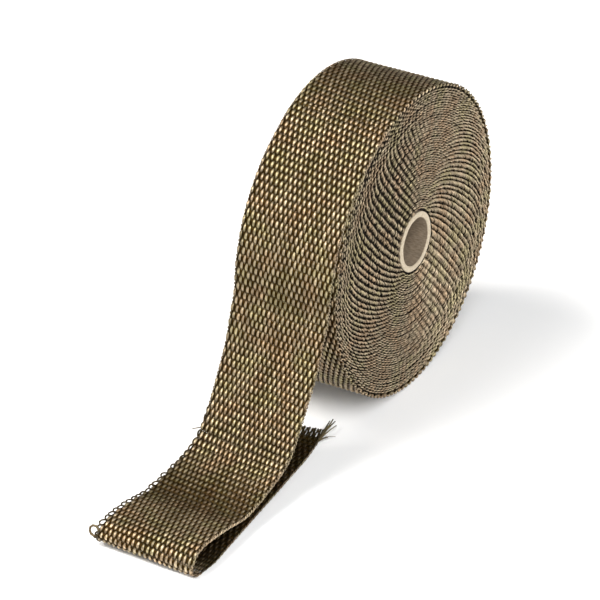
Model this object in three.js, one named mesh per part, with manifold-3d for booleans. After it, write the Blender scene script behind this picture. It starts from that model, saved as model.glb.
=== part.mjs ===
// A roll of woven exhaust heat wrap on its cardboard core, with a free tail that hangs down in front,
// runs out over the floor and folds back under itself. Millimetres, +Z up.
// The roll's axis lies along X, and the tail runs out towards -Y.
import * as THREE from 'three';
import { mergeVertices } from 'three/addons/utils/BufferGeometryUtils.js';
import Module from 'manifold-3d';

const wasm = await Module();
wasm.setup();

// Driving dimensions

const tapeWidth = 50;
const tapeThickness = 1.5;
const rollDiameter = 147.6;

const coreBore = 23;
const coreWall = 2.8;
const coreProud = 1;
const coreClearance = 0.3;

// The turns on the roll's ends are grouped, one groove between one group and the next.
const turnGroups = 9;
const turnGrooveWidth = 0.9;
const turnGrooveDepth = 0.8;

// The tail leaves the roll at this angle past the top and hangs a little clear of it.
const tailStartAngle = 26;
const looseTurnGap = 2.6;
const hangReach = 13;
const hangHeight = 50;
const sweepHeight = 15.4;
const sweepReach = 38;
const floorRunHeight = 8;
const floorRunReach = 71;
const foldHeight = 12.4;
const foldReach = 115.5;
const flapLength = 126;

// The tape wanders towards -X as it runs out, and goes on doing so on its way back.
const foldShift = -4;
const flapSkew = 0.075;

const roundSegments = 72;
const coreSegments = 48;
const tailSteps = 64;

// Sizes that follow

const rollRadius = rollDiameter / 2;
const coreRadius = coreBore / 2 + coreWall;
const wrapBoreRadius = coreRadius + coreClearance;
const halfWidth = tapeWidth / 2;
const halfThickness = tapeThickness / 2;
const foldFront = -(rollRadius + foldReach);

// Materials

const glassCloth = new THREE.MeshStandardMaterial({ color: 0x8c7a58, roughness: 0.85, metalness: 0 });
const cardboard = new THREE.MeshStandardMaterial({ color: 0xcdb891, roughness: 0.9, metalness: 0 });

// Solids from geometries, and back

function solidOf(geometry) {
  const bare = geometry.clone();
  bare.deleteAttribute('normal');
  bare.deleteAttribute('uv');
  const merged = mergeVertices(bare, 1e-4);
  return new wasm.Manifold(new wasm.Mesh({
    numProp: 3,
    vertProperties: new Float32Array(merged.attributes.position.array),
    triVerts: new Uint32Array(merged.index.array),
  }));
}

function geometryOf(solid) {
  const mesh = solid.getMesh();
  const geometry = new THREE.BufferGeometry();
  geometry.setAttribute('position', new THREE.BufferAttribute(new Float32Array(mesh.vertProperties), 3));
  geometry.setIndex(new THREE.BufferAttribute(new Uint32Array(mesh.triVerts), 1));
  geometry.computeVertexNormals();
  return geometry;
}

// A closed outline of radius and place along the roll's axis, turned about that axis, which is lifted
// so that the roll's rim stands on the floor.
function turned(outline, segments) {
  const points = outline.map(([radius, along]) => new THREE.Vector2(radius, along));
  points.push(points[0].clone());
  const geometry = new THREE.LatheGeometry(points, segments);
  geometry.rotateZ(-Math.PI / 2);
  geometry.translate(0, 0, rollRadius);
  return geometry;
}

// One end of the roll from its bore outwards, as radius and depth below the end face.
function endRelief() {
  const relief = [[wrapBoreRadius, 0]];
  const groupPitch = (rollRadius - wrapBoreRadius) / turnGroups;
  for (let group = 1; group < turnGroups; group += 1) {
    const radius = wrapBoreRadius + group * groupPitch;
    relief.push([radius - turnGrooveWidth / 2, 0]);
    relief.push([radius, turnGrooveDepth]);
    relief.push([radius + turnGrooveWidth / 2, 0]);
  }
  relief.push([rollRadius, 0]);
  return relief;
}

function woundRoll() {
  const relief = endRelief();
  const front = relief.map(([radius, depth]) => [radius, halfWidth - depth]).reverse();
  const back = relief.map(([radius, depth]) => [radius, depth - halfWidth]);
  return turned([...front, ...back], roundSegments);
}

// The middle of the tape, seen along the roll's axis, from inside the roll to the flap's free end.
function tailRoute() {
  const onRoll = (angle, radius) => {
    const turn = THREE.MathUtils.degToRad(angle);
    return new THREE.Vector2(-radius * Math.sin(turn), rollRadius + radius * Math.cos(turn));
  };
  const tapeRadius = rollRadius - halfThickness;
  const points = [
    onRoll(tailStartAngle - 8, tapeRadius - halfThickness),
    onRoll(tailStartAngle, tapeRadius),
    onRoll(tailStartAngle + 18, tapeRadius + 0.35 * looseTurnGap),
    onRoll(tailStartAngle + 36, tapeRadius + 0.85 * looseTurnGap),
    onRoll(tailStartAngle + 52, tapeRadius + 1.3 * looseTurnGap),
    onRoll(tailStartAngle + 64, tapeRadius + 1.7 * looseTurnGap),
    new THREE.Vector2(-(rollRadius + hangReach - 6), hangHeight + 15),
    new THREE.Vector2(-(rollRadius + hangReach), hangHeight),
    new THREE.Vector2(-(rollRadius + hangReach + 12.4), hangHeight - 20),
    new THREE.Vector2(-(rollRadius + sweepReach - 6), sweepHeight + 5.4),
    new THREE.Vector2(-(rollRadius + sweepReach), sweepHeight),
    new THREE.Vector2(-(rollRadius + sweepReach + 10), (sweepHeight + floorRunHeight) / 2),
    new THREE.Vector2(-(rollRadius + floorRunReach), floorRunHeight),
    new THREE.Vector2(foldFront + 28, foldHeight - 2.2),
    new THREE.Vector2(foldFront + 13, foldHeight - halfThickness),
    new THREE.Vector2(foldFront + 5, foldHeight - 1.7),
    new THREE.Vector2(foldFront + halfThickness, 0.56 * foldHeight),
    new THREE.Vector2(foldFront + 1.4, 0.25 * foldHeight),
    new THREE.Vector2(foldFront + 6, halfThickness),
  ];
  const route = new THREE.SplineCurve(points).getSpacedPoints(tailSteps);
  route.push(new THREE.Vector2(foldFront + flapLength, halfThickness));
  return route;
}

function tailOutline() {
  const route = tailRoute();
  const upper = [];
  const lower = [];
  route.forEach((point, i) => {
    const before = route[Math.max(i - 1, 0)];
    const after = route[Math.min(i + 1, route.length - 1)];
    const along = after.clone().sub(before).normalize();
    const across = new THREE.Vector2(along.y, -along.x).multiplyScalar(halfThickness);
    upper.push(point.clone().add(across));
    lower.push(point.clone().sub(across));
  });
  return [...upper, ...lower.reverse()].map((p) => new THREE.Vector2(p.x, Math.max(p.y, 0)));
}

// How far the tape has wandered sideways at a place seen along the roll's axis.
function sidewaysShift(y, z) {
  const onFlap = z < 1.2 * tapeThickness && y > foldFront + 3;
  if (onFlap) return foldShift - flapSkew * (y - foldFront);
  const run = THREE.MathUtils.clamp((y + rollRadius) / (foldFront + rollRadius), 0, 1);
  return foldShift * run;
}

function freeTail() {
  const outline = new THREE.Shape(tailOutline());
  const geometry = new THREE.ExtrudeGeometry(outline, { depth: tapeWidth, bevelEnabled: false });
  geometry.translate(0, 0, -halfWidth);
  const towardsX = new THREE.Matrix4().makeBasis(
    new THREE.Vector3(0, 1, 0),
    new THREE.Vector3(0, 0, 1),
    new THREE.Vector3(1, 0, 0),
  );
  geometry.applyMatrix4(towardsX);
  const position = geometry.attributes.position;
  for (let i = 0; i < position.count; i += 1) {
    const shift = sidewaysShift(position.getY(i), position.getZ(i));
    position.setX(i, position.getX(i) + shift);
  }
  return geometry;
}

function coreTube() {
  const half = halfWidth + coreProud;
  const bore = coreBore / 2;
  return turned([[coreRadius, half], [bore, half], [bore, -half], [coreRadius, -half]], coreSegments);
}

// The object

function named(name, geometry, material) {
  const mesh = new THREE.Mesh(geometry, material);
  mesh.name = name;
  return mesh;
}

const wrap = solidOf(woundRoll()).add(solidOf(freeTail()));

const roll = new THREE.Group();
roll.add(named('heat_wrap', geometryOf(wrap), glassCloth));
roll.add(named('core_tube', coreTube(), cardboard));

// The origin is under the middle of the whole object.
const extent = new THREE.Box3().setFromObject(roll);
const middle = extent.getCenter(new THREE.Vector3());
roll.position.set(-middle.x, -middle.y, -extent.min.z);

const object = new THREE.Group();
object.add(roll);
object.updateMatrixWorld(true);

export default object;
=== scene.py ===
"""A roll of woven exhaust heat wrap on a cardboard core, with its free tail folded on the floor.

Everything is in metres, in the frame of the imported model: the roll's axis lies along X, its rim
stands on the floor at z = 0, and the tail runs out towards -Y. The tape is woven here from its own
yarns: warp yarns along the tape, weft yarns across it, stitches round its edges, and open loops
along the outer part of the tail's far edge. The wound turns show on the roll's ends as one spiral,
with the tape's stitches at the near end and its open loops at the far end.
"""

import math

import bpy
import numpy as np
from mathutils import Matrix, Vector


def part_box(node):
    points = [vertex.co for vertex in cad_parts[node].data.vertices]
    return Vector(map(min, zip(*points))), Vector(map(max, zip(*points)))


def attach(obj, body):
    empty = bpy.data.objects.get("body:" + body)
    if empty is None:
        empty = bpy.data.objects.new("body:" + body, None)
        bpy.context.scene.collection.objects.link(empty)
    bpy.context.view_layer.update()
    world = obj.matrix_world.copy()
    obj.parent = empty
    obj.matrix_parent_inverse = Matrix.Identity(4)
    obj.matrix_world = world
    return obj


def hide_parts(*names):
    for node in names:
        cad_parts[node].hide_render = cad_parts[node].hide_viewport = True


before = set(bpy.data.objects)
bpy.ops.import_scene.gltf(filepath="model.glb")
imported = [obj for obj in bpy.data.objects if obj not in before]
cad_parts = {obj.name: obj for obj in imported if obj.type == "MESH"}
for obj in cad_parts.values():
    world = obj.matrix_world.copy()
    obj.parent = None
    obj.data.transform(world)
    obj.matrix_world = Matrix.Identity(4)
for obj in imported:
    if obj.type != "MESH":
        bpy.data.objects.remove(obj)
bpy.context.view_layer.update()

MM = 0.001
RNG = np.random.default_rng(7)

# The roll and its place

CORE_LOW, CORE_HIGH = (Vector(corner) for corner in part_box("core_tube"))
WRAP_LOW, WRAP_HIGH = (Vector(corner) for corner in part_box("heat_wrap"))
CORE_MIDDLE = (CORE_LOW + CORE_HIGH) / 2
ROLL_RADIUS = (WRAP_HIGH.z - WRAP_LOW.z) / 2
ROLL_PLACE = np.array([CORE_MIDDLE.x, CORE_MIDDLE.y, 0.0])
CORE_RADIUS = (CORE_HIGH.y - CORE_LOW.y) / 2
CORE_BORE = 11.5 * MM
CORE_END = (CORE_HIGH.x - CORE_LOW.x) / 2 - 0.8 * MM
CORE_SOFT_RIM = 0.35 * MM
ROUND_STEPS = 96

# The tape

TAPE_WIDTH = 50 * MM
HALF_WIDTH = TAPE_WIDTH / 2
TAPE_THICKNESS = 1.5 * MM
HALF_THICKNESS = TAPE_THICKNESS / 2
WRAP_BORE = CORE_RADIUS + 0.3 * MM
INNER_ROLL_RADIUS = ROLL_RADIUS - 2.15 * MM

# The wound turns: outside this radius each millimetre adds one part in 550 to their pitch

TURN_PITCH = 1.0925 * MM
LOOSE_FROM = 50 * MM
LOOSENING = 550

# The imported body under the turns' edges

BODY_INSET = 0.9 * MM
BODY_GROOVE = 0.6 * MM
BODY_LIP = 0.5 * MM
BODY_LIP_DEPTH = 1.2 * MM

# The weave

WARP_COUNT = 39
WARP_PITCH = 1.27 * MM
WARP_HALF_WIDTH = 0.66 * MM
WARP_HALF_HEIGHT = 0.33 * MM
WARP_SIDES = 5
WARP_STEPS = 4
WARP_WAVER = 0.07 * MM
WARP_DRIFT = 0.16 * MM
CRIMP = 0.5 * MM
PICK_PITCH = 3.43 * MM
PICK_SKEW = 0.12
WEFT_HALF_WIDTH = 2.1 * MM
WEFT_HALF_WIDTH_ROUND_FOLD = 1.5 * MM
WEFT_HALF_HEIGHT = 0.16 * MM
WEFT_INSET = 0.6 * MM

# The stitches and loops along the tape's edges

STITCH_TURN = np.radians(210)
STITCH_INSET = 0.55 * MM
STITCH_ROW_STEP = 0.15 * MM
STITCH_REACH = 0.45 * MM
STITCH_RISE = 0.6 * MM
RIM_STITCH = 0.4 * MM
TAIL_STITCH = 0.27 * MM
STITCHES_STOP = 8 * MM
STITCHES_INTO_LOOPS = 10 * MM
LOOPS_FROM = 152 * MM
LOOPS_STOP = 9 * MM
LOOPS_GROW_OVER = 35 * MM
LOOP_ROOT = 0.9 * MM
LOOP_STAND = 1.75 * MM
LOOP_THICK = 0.42 * MM
CORNER_LOOP_BEFORE_FLAP = 11.2 * MM
CORNER_LOOP_THICK = 0.6 * MM
STRAY_FIBRE_FROM = 157 * MM
STRAY_FIBRE_THICK = 0.28 * MM

# The stitches on the roll's near end and the loops on its far end

END_STITCH_INSET = 0.95 * MM
END_STITCH_STAND = 0.8 * MM
END_STITCH_LOWER = 0.3 * MM
END_STITCH_SLANT = 0.8 * MM
END_STITCH_TIP = 0.22 * MM
END_STITCH_SWELL = 0.16 * MM
END_LOOP_INSET = 1.2 * MM
END_LOOP_STAND = 1.9 * MM
END_LOOP_THICK = 0.27 * MM

# Painted shade: darker yarn on a patch of the stretch that lies lowest, and on the flap

SHADE_PATCH_BEFORE_FLAP = 58 * MM
SHADE_PATCH_REACH = 20 * MM
SHADE_PATCH_DEPTH = 0.55
FLAP_SHADE_TONE = 0.25
FLAP_STITCH_SHADE_TONE = 0.4

# Where the tail goes, seen along the roll's axis, as in the part's source

TAIL_START = math.radians(26)
LOOSE_GAP = 2.6 * MM
HANG_REACH = 13 * MM
HANG_HEIGHT = 50 * MM
SWEEP_HEIGHT = 15.4 * MM
SWEEP_REACH = 38 * MM
FLOOR_RUN_HEIGHT = 8 * MM
FLOOR_RUN_REACH = 71 * MM
FOLD_HEIGHT = 12.4 * MM
FOLD_REACH = 115.5 * MM
FLAP_LENGTH = 126 * MM
FOLD_FRONT = -(ROLL_RADIUS + FOLD_REACH)
FOLD_SHIFT = -4 * MM
FLAP_SKEW = 0.075

# The flap's way back: it eases sideways after the fold, curls in near its end, and is cut on a slant

FLAP_TURNS_FROM = 6 * MM
FLAP_EASE = 2.4 * MM
FLAP_EASE_OVER = 16 * MM
FLAP_CURL = 3.5 * MM
FLAP_CURL_FROM = 100 * MM
FLAP_CURL_OVER = 33 * MM
FLAP_OVERRUN = 6 * MM
END_SLANT = 0.21

# The hidden turn: its angles in degrees, and how many millimetres the tape is sunk at each

RIM_SUNK_AT = [-322, -230, -110, -40]
RIM_SUNK = [1.4, 0.6, 0.35, 0]

# The slope across the tape, at lengths after it leaves the roll

TWIST_AT = np.array([0, 60, 95, 125, 150, 172, 190, 205, 250, 262, 275]) * MM
TWIST = [0, 0.012, 0.04, 0.09, 0.115, 0.09, 0.03, 0.02, 0.05, 0.03, 0]
TWIST_BLUR = 24 * MM

ROUTE_STEP = 0.25 * MM
FLOOR_CLEARANCE = 0.35 * MM
STRAND_CLEARANCE = 0.4 * MM


# Paths of the tape


def on_roll(angle, radius):
    """A point (y, z) on the roll, angle radians past the top towards the tail."""
    return np.array([-radius * math.sin(angle), ROLL_RADIUS + radius * math.cos(angle)])


def tail_points():
    """The middle of the tape from where it leaves the roll to the start of the flap."""
    radius = ROLL_RADIUS - HALF_THICKNESS
    step = math.radians(1)
    return np.array([
        on_roll(TAIL_START - 8 * step, radius),
        on_roll(TAIL_START, radius),
        on_roll(TAIL_START + 18 * step, radius + 0.35 * LOOSE_GAP),
        on_roll(TAIL_START + 36 * step, radius + 0.85 * LOOSE_GAP),
        on_roll(TAIL_START + 52 * step, radius + 1.3 * LOOSE_GAP),
        on_roll(TAIL_START + 64 * step, radius + 1.7 * LOOSE_GAP),
        (-(ROLL_RADIUS + HANG_REACH - 6 * MM), HANG_HEIGHT + 15 * MM),
        (-(ROLL_RADIUS + HANG_REACH), HANG_HEIGHT),
        (-(ROLL_RADIUS + HANG_REACH + 12.4 * MM), HANG_HEIGHT - 20 * MM),
        (-(ROLL_RADIUS + SWEEP_REACH - 6 * MM), SWEEP_HEIGHT + 5.4 * MM),
        (-(ROLL_RADIUS + SWEEP_REACH), SWEEP_HEIGHT),
        (-(ROLL_RADIUS + SWEEP_REACH + 10 * MM), (SWEEP_HEIGHT + FLOOR_RUN_HEIGHT) / 2),
        (-(ROLL_RADIUS + FLOOR_RUN_REACH), FLOOR_RUN_HEIGHT),
        (FOLD_FRONT + 28 * MM, FOLD_HEIGHT - 2.2 * MM),
        (FOLD_FRONT + 13 * MM, FOLD_HEIGHT - HALF_THICKNESS),
        (FOLD_FRONT + 5 * MM, FOLD_HEIGHT - 1.7 * MM),
        (FOLD_FRONT + HALF_THICKNESS, 0.56 * FOLD_HEIGHT),
        (FOLD_FRONT + 1.4 * MM, 0.25 * FOLD_HEIGHT),
        (FOLD_FRONT + 6 * MM, HALF_THICKNESS),
    ])


def smooth_curve(points, per_span):
    """A Catmull-Rom curve through points, with its ends carried straight on."""
    before = 2 * points[0] - points[1]
    after = 2 * points[-1] - points[-2]
    p = np.vstack([before, points, after])
    t = np.linspace(0, 1, per_span, endpoint=False)[:, None]
    spans = []
    for i in range(1, len(p) - 2):
        a, b, c, d = p[i - 1], p[i], p[i + 1], p[i + 2]
        bend = 2 * a - 5 * b + 4 * c - d
        turn = -a + 3 * b - 3 * c + d
        spans.append(0.5 * (2 * b + (c - a) * t + bend * t**2 + turn * t**3))
    return np.vstack(spans + [points[-1:]])


def rim_line():
    """The tape's middle round the roll, from its hidden start under the outermost turn."""
    radius = ROLL_RADIUS - HALF_THICKNESS
    first, last = math.radians(RIM_SUNK_AT[0]), TAIL_START - math.radians(8)
    angles = np.arange(first, last, math.radians(1))
    sunk = np.interp(np.degrees(angles), RIM_SUNK_AT, RIM_SUNK)
    return np.array([on_roll(a, radius - depth * MM) for a, depth in zip(angles, sunk)])


def flap_line(start):
    """The flap's middle along the floor, from the end of the fold to a little past the cut."""
    end = np.array([FOLD_FRONT + FLAP_LENGTH + FLAP_OVERRUN, HALF_THICKNESS])
    return start + (end - start) * np.linspace(0, 1, 120)[1:, None]


class TapeRoute:
    """The middle line of the visible tape, from its hidden start under the outermost turn to the
    flap's free end, sampled evenly by its length."""

    def __init__(self):
        rim = rim_line()
        tail = smooth_curve(tail_points(), 24)
        line = np.vstack([rim, tail, flap_line(tail[-1])])
        along = np.concatenate([[0], np.cumsum(np.linalg.norm(np.diff(line, axis=0), axis=1))])
        self.length = along[-1]
        self.s = np.linspace(0, self.length, int(self.length / ROUTE_STEP) + 1)
        self.line = np.stack([np.interp(self.s, along, line[:, k]) for k in (0, 1)], axis=1)
        self.leave = along[len(rim)]
        self.flap_from = along[len(rim) + len(tail) - 1]
        tangent = np.gradient(self.line, axis=0)
        tangent /= np.linalg.norm(tangent, axis=1)[:, None]
        self.normal = np.stack([tangent[:, 1], -tangent[:, 0]], axis=1)
        self.shift = self._sideways()
        self.twist = self._twist()

    def _sideways(self):
        """How far the tape has wandered towards -X."""
        y = self.line[:, 0]
        run = np.clip((y + ROLL_RADIUS) / (FOLD_FRONT + ROLL_RADIUS), 0, 1)
        shift = FOLD_SHIFT * run
        back = np.clip(self.s - self.flap_from + FLAP_TURNS_FROM, 0, None)
        eased = FLAP_EASE * np.clip(back / FLAP_EASE_OVER, 0, 1)
        eased -= FLAP_CURL * (np.clip(back - FLAP_CURL_FROM, 0, None) / FLAP_CURL_OVER) ** 2
        shift = np.where(self.s < self.leave, 0, shift)
        return np.where(back > 0, FOLD_SHIFT - FLAP_SKEW * back + eased, shift)

    def _twist(self):
        """The slope of the tape across its width: its near edge hangs further out than its far one."""
        hang = np.interp(self.s - self.leave, TWIST_AT, TWIST)
        kernel = np.hanning(int(TWIST_BLUR / ROUTE_STEP))
        return np.convolve(hang, kernel / kernel.sum(), mode="same")

    def place(self, s, across, off):
        """Points of the frame at length s, across the tape from its middle, and off its middle
        layer, none of them lower than a yarn that rests on the floor."""
        s, across, off = np.broadcast_arrays(s, across, off)
        flat = s.ravel()
        pick = [np.interp(flat, self.s, v) for v in (
            self.line[:, 0], self.line[:, 1], self.normal[:, 0], self.normal[:, 1],
            self.shift, self.twist,
        )]
        y, z, ny, nz, shift, twist = (v.reshape(s.shape) for v in pick)
        lift = off + twist * across
        point = np.stack([across + shift, y + ny * lift, z + nz * lift], axis=-1)
        point[..., 2] = np.maximum(point[..., 2], FLOOR_CLEARANCE)
        return point + ROLL_PLACE

    def outward(self, s):
        """The direction out of the tape's outer side at length s."""
        flat = np.ravel(s)
        ny = np.interp(flat, self.s, self.normal[:, 0])
        nz = np.interp(flat, self.s, self.normal[:, 1])
        out = np.stack([np.zeros_like(ny), ny, nz], axis=-1)
        out /= np.linalg.norm(out, axis=1)[:, None]
        return out.reshape(np.shape(s) + (3,))


ROUTE = TapeRoute()


# Meshes of yarns


def tube_rings(lines, up, half_width, half_height, sides):
    """Rings of points round the yarns' lines: wide across the direction up, and high along it."""
    yarns, stations = lines.shape[:2]
    tangent = np.gradient(lines, axis=1)
    tangent /= np.linalg.norm(tangent, axis=2)[..., None] + 1e-12
    side = np.cross(tangent, up)
    side /= np.linalg.norm(side, axis=2)[..., None] + 1e-12
    rise = np.cross(side, tangent)
    turn = np.linspace(0, 2 * math.pi, sides, endpoint=False) + math.pi / 2
    wide = np.broadcast_to(half_width, (yarns, stations))[..., None, None]
    high = np.broadcast_to(half_height, (yarns, stations))[..., None, None]
    return (
        lines[:, :, None]
        + side[:, :, None] * np.cos(turn)[None, None, :, None] * wide
        + rise[:, :, None] * np.sin(turn)[None, None, :, None] * high
    )


def tube_uv(lines, sides):
    """The UV corners of each tube's quads: millimetres along the yarn, and turns round it."""
    yarns, stations = lines.shape[:2]
    length = np.cumsum(np.linalg.norm(np.diff(lines, axis=1), axis=2), axis=1)
    length = np.concatenate([np.zeros((yarns, 1)), length], axis=1) / MM
    round_it = np.arange(sides + 1) / sides
    shape = (yarns, stations - 1, sides)
    u0 = np.broadcast_to(length[:, :-1, None], shape)
    u1 = np.broadcast_to(length[:, 1:, None], shape)
    v0 = np.broadcast_to(round_it[None, None, :-1], shape)
    v1 = np.broadcast_to(round_it[None, None, 1:], shape)
    corners = [np.stack(c, axis=-1) for c in ((u0, v0), (u0, v1), (u1, v1), (u1, v0))]
    return np.stack(corners, axis=-2).reshape(-1, 4, 2)


class Yarns:
    """Many yarns gathered into one mesh. Each is a tube of a few sides along its own line, closed at
    both ends, with a tone of its own and a crown value that is low where it lies in a hollow. The
    yarn materials paint shade by the crown value."""

    def __init__(self):
        self.points, self.quads, self.caps = [], [], []
        self.uv_quads, self.strand, self.crown = [], [], []
        self.count = 0

    def add(self, lines, up, half_width, half_height, sides, crown):
        """lines and up are (yarns, stations, 3); the half sizes and crown are numbers or arrays of
        (yarns, stations)."""
        yarns, stations = lines.shape[:2]
        ring = tube_rings(lines, up, half_width, half_height, sides)
        index = self.count + np.arange(yarns * stations * sides).reshape(yarns, stations, sides)
        here = index[:, :-1]
        there = index[:, 1:]
        quads = np.stack([here, np.roll(here, -1, axis=2), np.roll(there, -1, axis=2), there], axis=-1)
        self.points.append(ring.reshape(-1, 3))
        self.quads.append(quads.reshape(-1, 4))
        self.uv_quads.append(tube_uv(lines, sides))
        self.caps.append(index[:, 0, ::-1].reshape(yarns, sides))
        self.caps.append(index[:, -1].reshape(yarns, sides))
        self.strand.append(np.repeat(RNG.random(yarns), stations * sides))
        self.crown.append(np.repeat(np.broadcast_to(crown, (yarns, stations)).reshape(-1), sides))
        self.count += yarns * stations * sides

    def mesh(self, name, material):
        """The yarns gathered so far, as one object."""
        points = np.concatenate(self.points)
        faces = [np.concatenate(self.quads)] + self.caps
        loops = np.concatenate([face.ravel() for face in faces])
        sizes = np.concatenate([np.full(len(face), face.shape[1]) for face in faces])
        starts = np.concatenate([[0], np.cumsum(sizes)[:-1]])
        data = bpy.data.meshes.new(name)
        data.vertices.add(len(points))
        data.vertices.foreach_set("co", points.astype(np.float32).ravel())
        data.loops.add(len(loops))
        data.loops.foreach_set("vertex_index", loops.astype(np.int32))
        data.polygons.add(len(sizes))
        data.polygons.foreach_set("loop_start", starts.astype(np.int32))
        data.polygons.foreach_set("use_smooth", np.ones(len(sizes), bool))
        self._add_attributes(data, len(loops))
        data.update(calc_edges=True)
        data.validate()
        data.materials.append(material)
        return linked(name, data)

    def _add_attributes(self, data, loop_count):
        """The UV map, which is plain zero on the end caps, and the strand and crown values."""
        corners = np.concatenate(self.uv_quads).reshape(-1, 2)
        uv = np.zeros((loop_count, 2), np.float32)
        uv[: len(corners)] = corners
        layer = data.uv_layers.new(name="yarn")
        layer.data.foreach_set("uv", uv.ravel())
        for label, values in (("strand", self.strand), ("crown", self.crown)):
            attribute = data.attributes.new(label, "FLOAT", "POINT")
            attribute.data.foreach_set("value", np.concatenate(values).astype(np.float32))


def linked(name, data):
    """A new object of some data, in the scene."""
    piece = bpy.data.objects.new(name, data)
    bpy.context.collection.objects.link(piece)
    return piece


# Materials


def new_material(name):
    """A new material with its node tree and its shader."""
    material = bpy.data.materials.new(name)
    material.use_nodes = True
    tree = material.node_tree
    return material, tree, tree.nodes["Principled BSDF"]


def feed(tree, node, inputs):
    """Sets inputs of a node, each to a value or to the output of an earlier node."""
    for key, source in inputs.items():
        if isinstance(source, bpy.types.NodeSocket):
            tree.links.new(source, node.inputs[key])
        else:
            node.inputs[key].default_value = source


def new_node(tree, kind, inputs, **settings):
    """A new node with its settings and inputs."""
    node = tree.nodes.new(kind)
    for key, value in settings.items():
        setattr(node, key, value)
    feed(tree, node, inputs)
    return node


def position(tree):
    """The place on the object, in metres."""
    return new_node(tree, "ShaderNodeTexCoord", {}).outputs["Object"]


def stretched(tree, vector, scale):
    """A place or a UV, scaled by a number for each direction."""
    return new_node(tree, "ShaderNodeMapping", {"Vector": vector, "Scale": scale}).outputs["Vector"]


def noise(tree, vector, scale, detail):
    """Noise of a scale and detail over a place or a UV."""
    inputs = {"Vector": vector, "Scale": scale, "Detail": detail}
    return new_node(tree, "ShaderNodeTexNoise", inputs).outputs["Fac"]


def mesh_value(tree, label):
    """A value that the mesh carries at each of its points."""
    return new_node(tree, "ShaderNodeAttribute", {}, attribute_name=label).outputs["Fac"]


def calculated(tree, operation, *values):
    """The result of one sum on numbers and outputs."""
    return new_node(tree, "ShaderNodeMath", dict(enumerate(values)), operation=operation).outputs["Value"]


def ranged(tree, value, old, new, curve="LINEAR"):
    """A value moved from an old range to a new one."""
    inputs = {
        "Value": value, "From Min": old[0], "From Max": old[1], "To Min": new[0], "To Max": new[1],
    }
    return new_node(tree, "ShaderNodeMapRange", inputs, interpolation_type=curve).outputs["Result"]


def colour_steps(tree, value, steps):
    """A colour for a value, from steps of position and colour."""
    node = new_node(tree, "ShaderNodeValToRGB", {"Fac": value})
    ramp = node.color_ramp.elements
    ramp[0].position = steps[0][0]
    ramp[0].color = (*steps[0][1], 1)
    ramp[1].position = steps[-1][0]
    ramp[1].color = (*steps[-1][1], 1)
    for place, colour in steps[1:-1]:
        ramp.new(place).color = (*colour, 1)
    return node.outputs["Color"]


def multiplied(tree, colour, tint):
    """One colour times another."""
    mixed = new_node(
        tree, "ShaderNodeMix", {"Factor": 1, "A": colour, "B": tint},
        data_type="RGBA", blend_type="MULTIPLY",
    )
    return mixed.outputs["Result"]


def bumped(tree, height, strength, distance):
    """The surface's direction, roughened by a height."""
    inputs = {"Strength": strength, "Distance": distance, "Height": height}
    return new_node(tree, "ShaderNodeBump", inputs).outputs["Normal"]


def mineral_yarn(name, dark, light, lustre, roughness):
    """Bundled mineral filaments: fine streaks along the yarn, a tone for each yarn, lighter and
    darker stretches about as long as a bead, patches of a redder and a greener brown over the
    tape, and painted shade that darkens the hollows between the crowns."""
    material, tree, shader = new_material(name)
    uv = new_node(tree, "ShaderNodeUVMap", {}, uv_map="yarn").outputs["UV"]
    place = position(tree)
    filaments = noise(tree, stretched(tree, uv, (0.9, 14, 1)), 1.0, 3)
    strand_part = calculated(tree, "MULTIPLY_ADD", mesh_value(tree, "strand"), 0.3, 0.35)
    tone = calculated(tree, "MULTIPLY_ADD", filaments, 0.6, strand_part)
    beads = ranged(tree, noise(tree, place, 420, 1), (0.3, 0.7), (0.55, 1.15))
    # Painted shade: the crown value darkens the yarn where it lies in a hollow.
    shade_by_crown = ranged(tree, mesh_value(tree, "crown"), (0.05, 0.75), (0.04, 1), "SMOOTHSTEP")
    lifted = calculated(tree, "MULTIPLY", shade_by_crown, tone)
    toned = calculated(tree, "MULTIPLY", lifted, beads)
    shade = colour_steps(tree, toned, [(0.0, dark), (1.0, light)])
    redder, plain, greener = (1.0, 0.9, 0.84), (1, 1, 1), (0.94, 0.98, 0.84)
    patches = noise(tree, place, 90, 2)
    tint = colour_steps(tree, patches, [(0.36, redder), (0.5, plain), (0.64, greener)])
    feed(tree, shader, {
        "Base Color": multiplied(tree, shade, tint),
        "Normal": bumped(tree, filaments, 0.5, 0.15 * MM),
        "Roughness": roughness,
        "Metallic": lustre,
        "Specular IOR Level": 0.3,
    })
    return material


def paper(name, dark, light):
    """Rolled grey-brown paper with faint fibres."""
    material, tree, shader = new_material(name)
    fibres = noise(tree, stretched(tree, position(tree), (500, 1600, 1600)), 1, 4)
    feed(tree, shader, {
        "Base Color": colour_steps(tree, fibres, [(0.3, dark), (0.7, light)]),
        "Normal": bumped(tree, fibres, 0.5, 0.2 * MM),
        "Roughness": 0.9,
        "Specular IOR Level": 0.2,
    })
    return material


def shaded_turn_hollows():
    """The hollows between the wound turns: the yarn coloured near black as painted shade, grained."""
    material, tree, shader = new_material("shaded_turn_hollows")
    grain = noise(tree, position(tree), 700, 3)
    dark, light = (0.004, 0.0025, 0.001), (0.012, 0.008, 0.004)
    feed(tree, shader, {
        "Base Color": colour_steps(tree, grain, [(0.35, dark), (0.7, light)]),
        "Normal": bumped(tree, grain, 0.6, 0.3 * MM),
        "Roughness": 0.8,
        "Specular IOR Level": 0.15,
    })
    return material


WARP_YARN = mineral_yarn("warp_yarn", (0.026, 0.014, 0.003), (0.60, 0.49, 0.33), 1.0, 0.48)
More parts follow.
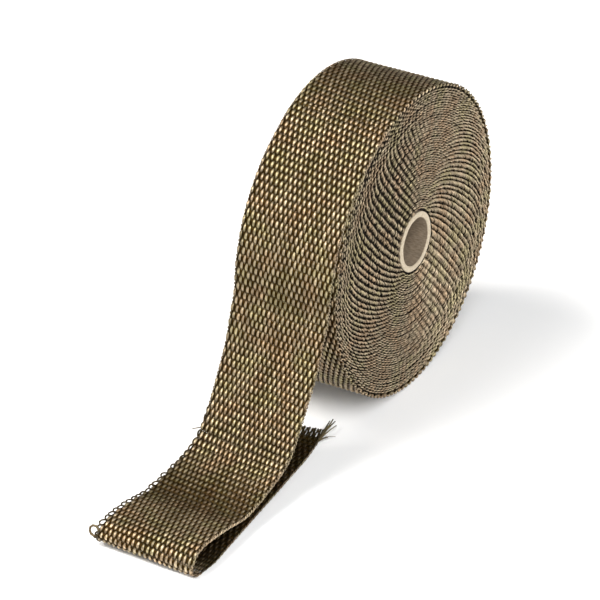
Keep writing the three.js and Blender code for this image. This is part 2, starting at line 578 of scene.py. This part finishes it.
# Painted shade: the weft is coloured far darker than the warp for the deep gaps between the warp yarns.
SHADED_WEFT_YARN = mineral_yarn("weft_yarn", (0.02, 0.012, 0.003), (0.075, 0.045, 0.013), 1.0, 0.65)
EDGE_YARN = mineral_yarn("edge_yarn", (0.016, 0.009, 0.003), (0.46, 0.37, 0.25), 0.85, 0.42)
FRAY_YARN = mineral_yarn("fray_yarn", (0.012, 0.007, 0.003), (0.15, 0.115, 0.06), 0.6, 0.5)
LOOP_YARN = mineral_yarn("loop_yarn", (0.010, 0.006, 0.003), (0.07, 0.052, 0.026), 0.6, 0.45)


# The woven tape


def painted_shade(s):
    """How bright the yarn is painted: painted shade darkens the stretch that lies lowest and the flap
    under it.
    """
    lowest = ROUTE.flap_from - SHADE_PATCH_BEFORE_FLAP
    patch = 1 - SHADE_PATCH_DEPTH * np.exp(-(((s - lowest) / SHADE_PATCH_REACH) ** 2))
    return patch * np.interp(s, [ROUTE.flap_from - 4 * MM, ROUTE.flap_from + 8 * MM], [1, FLAP_SHADE_TONE])


def woven_stretch(name, start, end):
    """Warp yarns from one length of the tape to another, with their crimp over and under the weft.
    At the flap's end they stop on a slant."""
    warp = np.arange(WARP_COUNT)[:, None]
    across = (warp - (WARP_COUNT - 1) / 2) * WARP_PITCH
    stop = end + 0 * across
    if end == ROUTE.length:
        stop = end - FLAP_OVERRUN + END_SLANT * across
    picks = (end - start) / PICK_PITCH
    s = start + (stop - start) * np.linspace(0, 1, int(picks * WARP_STEPS) + 1)
    waver = WARP_WAVER * np.sin(s / (31 * MM) + 2.4 * warp)
    drift = WARP_DRIFT * np.sin(s / (90 * MM) + 0.3 * warp)
    wave = np.cos(math.pi * (s - PICK_SKEW * across) / PICK_PITCH + math.pi * warp)
    swell = 1 + 0.12 * np.sin(0.37 * s / PICK_PITCH + 1.9 * warp)
    lines = ROUTE.place(s, across + waver + drift, CRIMP * wave)
    wide = WARP_HALF_WIDTH * (0.68 + 0.36 * np.abs(wave)) * swell
    high = WARP_HALF_HEIGHT * (0.75 + 0.25 * np.abs(wave))
    yarns = Yarns()
    # The crown value paints shade at the crossings, deeper on the lowest stretch and on the flap.
    yarns.add(lines, ROUTE.outward(s), wide, high, WARP_SIDES, np.abs(wave) * painted_shade(s))
    return yarns.mesh(name, WARP_YARN)


def weft_picks():
    """One yarn across the tape for each pick, seen between the warp yarns, narrower round the fold."""
    yarns = Yarns()
    picks = np.arange(1, int((ROUTE.length - FLAP_OVERRUN) / PICK_PITCH))
    across = np.linspace(-HALF_WIDTH + WEFT_INSET, HALF_WIDTH - WEFT_INSET, 21)
    s = picks[:, None] * PICK_PITCH + PICK_SKEW * across[None]
    s = np.clip(s, 0, ROUTE.length)
    across = np.broadcast_to(across, s.shape)
    lines = ROUTE.place(s, across, 0.0)
    round_fold = ROUTE.flap_from + np.array([-14, -9, 2, 6]) * MM
    plain, narrow = WEFT_HALF_WIDTH, WEFT_HALF_WIDTH_ROUND_FOLD
    wide = np.interp(s, round_fold, [plain, narrow, narrow, plain])
    # The crown value 0.4 adds more painted shade to the weft.
    yarns.add(lines, ROUTE.outward(s), wide, WEFT_HALF_HEIGHT, 6, 0.4)
    return yarns.mesh("weft_yarns", SHADED_WEFT_YARN)


def edge_stitches(name, side, start, end, rows, thick):
    """The weft turning round one edge of the tape: slanting stitches for each pick, with painted shade
    where the flap lies on the floor."""
    yarns = Yarns()
    picks = np.arange(math.ceil(start / PICK_PITCH) + 1, int(end / PICK_PITCH))[:, None]
    t = np.linspace(-0.5, 0.5, 7)[None]
    round_it = STITCH_TURN * t
    span = 0.44 + 0.09 * rows
    for row in range(rows):
        s = (picks + row / rows + span * t) * PICK_PITCH + side * PICK_SKEW * HALF_WIDTH
        reach = STITCH_REACH * np.cos(round_it)
        across = side * (HALF_WIDTH - STITCH_INSET - STITCH_ROW_STEP * row + reach)
        off = -STITCH_RISE * np.sin(round_it)
        lines = ROUTE.place(np.clip(s, 0, ROUTE.length), across, off)
        up = np.zeros_like(lines)
        up[..., 0] = side
        up -= 0.6 * np.sign(np.sin(round_it))[..., None] * ROUTE.outward(s)
        # Painted shade: the crown value darkens each stitch where it turns under the edge, and more on
        # the flap.
        crown = np.clip(0.1 + 0.9 * np.cos(round_it), 0, 1)
        crown = crown * np.where(s > ROUTE.flap_from, FLAP_STITCH_SHADE_TONE, 1)
        yarns.add(lines, up, thick, thick, 5, crown)
    return yarns.mesh(name, EDGE_YARN)


def edge_loops(start, end):
    """Open loops of weft standing out of the tail's far edge, one for each pick. They grow over the
    first stretch, and no two stand, lean and lift quite alike."""
    yarns = Yarns()
    picks = np.arange(math.ceil(start / PICK_PITCH), int(end / PICK_PITCH))[:, None]
    count = len(picks)
    t = np.linspace(-0.5, 0.5, 9)[None]
    grown = np.clip((picks * PICK_PITCH - start) / LOOPS_GROW_OVER, 0.15, 1)
    stand = LOOP_STAND * grown * (1 + 0.14 * RNG.standard_normal((count, 1)))
    lean = 0.35 * MM * RNG.standard_normal((count, 1))
    lift = 0.15 * MM * RNG.standard_normal((count, 1))
    bow = np.sqrt(np.clip(1 - (2 * t) ** 2, 0, 1))
    s = (picks + 0.86 * t) * PICK_PITCH - PICK_SKEW * HALF_WIDTH + lean * bow
    across = -HALF_WIDTH + LOOP_ROOT - (0.5 * MM + stand) * bow
    off = 0.4 * MM * np.cos(math.pi * (t + 0.5)) + lift
    lines = ROUTE.place(np.clip(s, 0, ROUTE.length), across, off)
    yarns.add(lines, ROUTE.outward(s), LOOP_THICK, LOOP_THICK, 6, 0.8)
    return yarns.mesh("edge_loops", LOOP_YARN)


def add_strand(yarns, line, thick):
    """One loose yarn along a line, kept above the floor."""
    up = np.zeros((1, len(line), 3))
    up[..., 2] = 1
    thick = np.broadcast_to(thick, len(line))[None]
    line[:, 2] = np.maximum(line[:, 2], STRAND_CLEARANCE)
    yarns.add(line[None], up, thick, thick, 6, 0.75)


def add_frayed(yarns, flap_end, near, t):
    """Edge yarns frayed from the flap's cut end, in millimetres: how far before the end each
    starts, where it reaches from there, its sway and its half thickness."""
    frayed = [
        (9.2, (0.9, 13.6, 2.4), 0.4, 0.5),
        (8.2, (0.0, 12.6, 3.2), 0.8, 0.5),
        (7.0, (-1.2, 11.0, 2.0), 0.5, 0.45),
        (9.8, (2.0, 13.0, 1.2), 0.6, 0.4),
        (11.2, (5.6, 6.9, 0.6), -0.4, 0.24),
        (11.6, (3.0, 4.6, 0.8), 0.6, 0.4),
    ]
    for back, reach, sway, thick in frayed:
        start = ROUTE.place(flap_end - back * MM, near, 0.0)
        line = start + np.array(reach) * MM * t
        line = line + np.array([sway, 0, 1.0]) * MM * np.sin(math.pi * t)
        add_strand(yarns, line, thick * MM * (1 - 0.5 * t[:, 0]))


def loose_ends(flap_end):
    """Edge yarns frayed from the flap's cut end, the big loop at the fold's corner and a stray fibre."""
    yarns = Yarns()
    t = np.linspace(0, 1, 10)[:, None]
    near, far = HALF_WIDTH - 0.6 * MM, -HALF_WIDTH + 0.3 * MM
    add_frayed(yarns, flap_end, near, t)
    corner = ROUTE.place(ROUTE.flap_from - CORNER_LOOP_BEFORE_FLAP, far, 0.0)
    turn = 2 * math.pi * t * 0.96
    ring = np.hstack([-2.4 * (1 - np.cos(turn)), 0.6 * np.sin(turn), 2.3 * np.sin(turn) - 0.5]) * MM
    add_strand(yarns, corner + ring, CORNER_LOOP_THICK)
    hang = ROUTE.place(ROUTE.leave + STRAY_FIBRE_FROM, far, 0.0)
    stray = np.hstack([-4.5 * t, -0.4 * t, -2.4 * t + 0.5 * t**2]) * MM
    add_strand(yarns, hang + stray, STRAY_FIBRE_THICK)
    return yarns.mesh("loose_ends", FRAY_YARN)


# The wound turns


def spiral_stations():
    """The angle and radius of each pick along the wound turns, from the core outwards. Two picks more
    go to each turn than to the last, so stitches line up in rays; the outer turns lie looser, so
    there the rays bend back."""
    step = math.radians(0.4)
    radius = [WRAP_BORE + TURN_PITCH / 2]
    while radius[-1] < INNER_ROLL_RADIUS - 0.3 * MM:
        loose = max(radius[-1] - LOOSE_FROM, 0)
        waver = 0.004 * math.sin(radius[-1] / (0.9 * MM))
        pitch = TURN_PITCH * (1 + loose / LOOSENING / MM + waver)
        radius.append(radius[-1] + pitch * step / (2 * math.pi))
    radius = np.array(radius)
    angle = np.arange(len(radius)) * step
    along = np.concatenate([[0], np.cumsum(radius[1:] * step)])
    s = np.arange(0.5 * PICK_PITCH, along[-1], PICK_PITCH)
    return np.interp(s, along, angle), np.interp(s, along, radius)


def ring_points(angle, radius, x):
    """Points of the frame from an angle round the roll's axis, a radius and a place along it."""
    y = -radius * np.sin(angle)
    z = ROLL_RADIUS + radius * np.cos(angle)
    return np.stack(np.broadcast_arrays(x, y, z), axis=-1) + ROLL_PLACE


def turn_wobble(angle):
    """Each turn lies a little proud of the next, or behind it."""
    turn = angle / (2 * math.pi)
    from_turn_to_turn = 0.22 * MM * np.sin(2.1 * turn + np.sin(0.7 * turn))
    within_a_turn = 0.12 * MM * np.sin(3 * angle + 0.9 * turn)
    return from_turn_to_turn + within_a_turn


def turn_stitches_near():
    """The wound tape's near edge: one slanting stitch for each pick, on every turn. They lie snug
    against each other at the back of the roll, with painted light on them, and open at its upper
    front, with painted shade in the hollows. Every second stitch is shorter and lower, most of all
    at the back."""
    yarns = Yarns()
    angle, radius = spiral_stations()
    count = len(angle)
    t = np.linspace(-0.5, 0.5, 5)[None]
    swing, outwards, proud, _ = RNG.standard_normal((4, count, 1))
    snug = np.clip(np.cos(angle + math.radians(80)), 0, 1)[:, None]
    airy = np.clip(np.cos(angle - math.radians(35)), 0, 1)[:, None] ** 2
    odd = (np.arange(count) % 2)[:, None] * (0.3 + 0.7 * snug)
    span = (1.08 + 0.07 * snug - 0.35 * odd - 0.2 * airy) * PICK_PITCH
    turn = angle[:, None] + (span * t + (0.2 - 0.1 * snug) * MM * swing) / radius[:, None]
    out = radius[:, None] - END_STITCH_SLANT * t + 0.06 * MM * outwards
    stand = END_STITCH_STAND - END_STITCH_LOWER * odd + 0.1 * MM * proud
    bow = np.cos(math.pi * t)
    x = HALF_WIDTH - END_STITCH_INSET + turn_wobble(angle)[:, None] + stand * bow
    lines = ring_points(turn, out, x)
    up = np.zeros_like(lines)
    up[..., 0] = 1
    thick = (END_STITCH_TIP + END_STITCH_SWELL * bow) * (1 + 0.25 * snug - 0.15 * airy)
    # The crown value paints shade at the stitches' ends, on the lower stitches and in the hollows at the
    # upper front, and paints light on the snug stitches at the back.
    crown = np.clip(bow * (1 - 0.25 * odd) + 0.45 * snug + 0.1 - 0.35 * airy, 0, 1)
    yarns.add(lines, up, thick, thick, 5, crown)
    return yarns.mesh("turn_stitches_near", EDGE_YARN)


def turn_loops_far():
    """The wound tape's far edge: its open loops, standing out of every turn."""
    yarns = Yarns()
    angle, radius = spiral_stations()
    count = len(angle)
    t = np.linspace(-0.5, 0.5, 6)
    bow = np.sqrt(np.clip(1 - (2 * t) ** 2, 0, 1))[None]
    taller, swing, outwards = RNG.standard_normal((3, count, 1))
    stand = END_LOOP_STAND * (1 + 0.15 * taller)
    turn = angle[:, None] + (0.85 * PICK_PITCH * t[None] + 0.2 * MM * swing * bow) / radius[:, None]
    lean = 0.25 * MM * outwards * bow
    out = radius[:, None] + 0.2 * MM * np.sin(math.pi * t)[None] + lean
    x = -(HALF_WIDTH - END_LOOP_INSET) - turn_wobble(angle)[:, None] - stand * bow
    lines = ring_points(turn, out, x)
    up = ring_points(turn, 1.0, 0.0) - ring_points(turn, 0.0, 0.0)
    # Painted shade: the crown value darkens each loop towards its roots.
    crown = 0.35 + 0.65 * bow * np.ones((count, 1))
    yarns.add(lines, up, END_LOOP_THICK, END_LOOP_THICK, 4, crown)
    return yarns.mesh("turn_loops_far", LOOP_YARN)


def turned_piece(name, half, material):
    """An outline of radius and place along the axis, given for the near half and mirrored to the
    far one, turned about the roll's axis."""
    outline = half + [(radius, -x) for radius, x in reversed(half)]
    edges = [(i, (i + 1) % len(outline)) for i in range(len(outline))]
    data = bpy.data.meshes.new(name)
    data.from_pydata([(x, 0, radius) for radius, x in outline], edges, [])
    piece = linked(name, data)
    bpy.ops.object.select_all(action="DESELECT")
    piece.select_set(True)
    bpy.context.view_layer.objects.active = piece
    bpy.ops.object.mode_set(mode="EDIT")
    bpy.ops.mesh.select_all(action="SELECT")
    bpy.ops.mesh.spin(steps=ROUND_STEPS, angle=2 * math.pi, center=(0, 0, 0), axis=(1, 0, 0))
    bpy.ops.mesh.select_all(action="SELECT")
    bpy.ops.mesh.remove_doubles(threshold=0.01 * MM)
    bpy.ops.mesh.normals_make_consistent(inside=False)
    bpy.ops.object.mode_set(mode="OBJECT")
    bpy.ops.object.shade_smooth_by_angle(angle=math.radians(40))
    piece.data.transform(Matrix.Translation((*ROLL_PLACE[:2], ROLL_RADIUS)))
    piece.data.materials.append(material)
    return piece


def wound_body():
    """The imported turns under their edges: a turned body with a groove at each turn, and its bore."""
    turns = int((INNER_ROLL_RADIUS - WRAP_BORE) / TURN_PITCH)
    pitch = (INNER_ROLL_RADIUS - WRAP_BORE) / turns
    face = HALF_WIDTH - BODY_INSET
    half = [(WRAP_BORE, face - BODY_GROOVE)]
    for turn in range(turns):
        half.append((WRAP_BORE + (turn + 0.5) * pitch, face))
        half.append((WRAP_BORE + (turn + 1) * pitch, face - BODY_GROOVE))
    half.append((INNER_ROLL_RADIUS + BODY_LIP, face - BODY_LIP_DEPTH))
    # The body's near-black colour is painted shade for the hollows between the turns.
    return turned_piece("wound_body", half, shaded_turn_hollows())


def rag_rims(piece):
    """Frays the core's rims: each dips a little, unevenly round the tube."""
    for vertex in piece.data.vertices:
        at = vertex.co - Vector((*ROLL_PLACE[:2], ROLL_RADIUS))
        angle = math.atan2(at.z, at.y)
        if abs(at.x) > CORE_END - 0.8 * MM:
            ragged = math.sin(7 * angle) + 0.6 * math.sin(17 * angle + 1) + 0.5 * math.sin(31 * angle)
            vertex.co.x -= math.copysign(0.09 * MM * (1 + 0.5 * ragged), at.x)


def paper_core():
    """The cardboard tube: a turned section with its rims softened and a little ragged."""
    soft = CORE_SOFT_RIM
    half = [
        (CORE_RADIUS, CORE_END - soft),
        (CORE_RADIUS - soft, CORE_END),
        ((CORE_RADIUS + CORE_BORE) / 2, CORE_END - 0.1 * MM),
        (CORE_BORE + soft, CORE_END),
        (CORE_BORE, CORE_END - soft),
    ]
    # The wall's paper is darker than the cut rim's: partly the paper's own tone, partly painted shade for
    # the inside of the bore.
    wall = paper("tube_wall", (0.17, 0.13, 0.09), (0.28, 0.22, 0.155))
    piece = turned_piece("paper_core", half, wall)
    piece.data.materials.append(paper("cut_rim", (0.32, 0.265, 0.19), (0.46, 0.395, 0.295)))
    for polygon in piece.data.polygons:
        if abs(polygon.center.x - ROLL_PLACE[0]) > CORE_END - 0.5 * MM:
            polygon.material_index = 1
    rag_rims(piece)
    return piece


# Making the object

wound = [wound_body(), turn_stitches_near(), turn_loops_far()]
rim_end = ROUTE.leave
rim_middle = rim_end / 2
rim_back = woven_stretch("woven_rim_back", 0, rim_middle)
rim_top = woven_stretch("woven_rim_top", rim_middle, rim_end)
tail = woven_stretch("woven_tail", rim_end, ROUTE.length)
weft = weft_picks()
near_rim = edge_stitches("near_edge_rim", 1, 0, rim_end, 1, RIM_STITCH)
near_tail = edge_stitches(
    "near_edge_tail", 1, rim_end - 2 * PICK_PITCH, ROUTE.length - STITCHES_STOP, 2, TAIL_STITCH,
)
loops_start = ROUTE.leave + LOOPS_FROM
far_edge = edge_stitches("far_edge", -1, 0, loops_start + STITCHES_INTO_LOOPS, 2, TAIL_STITCH)
loops = edge_loops(loops_start, ROUTE.length - LOOPS_STOP)
frays = loose_ends(ROUTE.length)
tape = [rim_back, rim_top, tail, weft, near_rim, near_tail, far_edge, loops, frays]
for piece in wound + tape:
    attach(piece, "root")
    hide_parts("heat_wrap")

core = paper_core()
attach(core, "root")
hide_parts("core_tube")


# The floor, the light and the camera

STUDIO_WHITE = (1, 1, 1, 1)
WARM_WHITE = (1.0, 0.97, 0.93)
COOL_WHITE = (0.98, 0.99, 1.0)


def floor():
    """A wide white floor that glows faintly."""
    bpy.ops.mesh.primitive_plane_add(size=12)
    plane = bpy.context.object
    plane.name = "floor"
    material, tree, shader = new_material("floor_white")
    feed(tree, shader, {
        "Base Color": (0.96, 0.96, 0.96, 1),
        "Roughness": 0.9,
        "Emission Color": STUDIO_WHITE,
        "Emission Strength": 0.06,
    })
    plane.data.materials.append(material)


def soft_light(name, towards, distance, size, power, colour):
    """A square soft box that faces the roll from a direction."""
    direction = Vector(towards).normalized()
    data = bpy.data.lights.new(name, "AREA")
    data.shape = "SQUARE"
    data.size = size
    data.energy = power
    data.color = colour
    light = linked(name, data)
    light.location = Vector((0, 0, 0.05)) + direction * distance
    light.rotation_euler = direction.to_track_quat("Z", "Y").to_euler()


def camera():
    """The photograph's viewpoint, from the fit of its outlines: long lens, from the front right."""
    yaw, pitch, roll = math.radians(30.57), math.radians(30.64), math.radians(-0.70)
    place = Vector((834.8 * MM, -1474.6 * MM, 1040.0 * MM)) + Vector(ROLL_PLACE)
    focal_pixels, picture_pixels, sensor_width = 4283.7, 600, 36
    back = Vector((
        math.sin(yaw) * math.cos(pitch), -math.cos(yaw) * math.cos(pitch), math.sin(pitch)
    ))
    right = Vector((0, 0, 1)).cross(back).normalized()
    up = back.cross(right)
    tilted_right = math.cos(roll) * right + math.sin(roll) * up
    tilted_up = -math.sin(roll) * right + math.cos(roll) * up
    data = bpy.data.cameras.new("camera")
    data.sensor_width = sensor_width
    data.lens = focal_pixels * sensor_width / picture_pixels
    data.clip_end = 100
    eye = linked("camera", data)
    axes = Matrix((tilted_right, tilted_up, back)).transposed().to_4x4()
    eye.matrix_world = Matrix.Translation(place) @ axes
    bpy.context.scene.camera = eye


def studio():
    """Faint white light from all round."""
    world = bpy.data.worlds.new("studio")
    world.use_nodes = True
    background = world.node_tree.nodes["Background"]
    feed(world.node_tree, background, {"Color": STUDIO_WHITE, "Strength": 0.04})
    bpy.context.scene.world = world


floor()
soft_light(
    "key", towards=(-0.44, -0.37, 0.82), distance=1.6, size=0.9, power=44, colour=WARM_WHITE,
)
soft_light(
    "front_right", towards=(0.5, -0.5, 0.7), distance=1.8, size=1.2, power=28, colour=COOL_WHITE,
)
soft_light(
    "right", towards=(0.95, 0.25, 0.25), distance=1.8, size=1.2, power=28, colour=COOL_WHITE,
)
camera()
studio()
bpy.context.scene.view_settings.view_transform = "Standard"
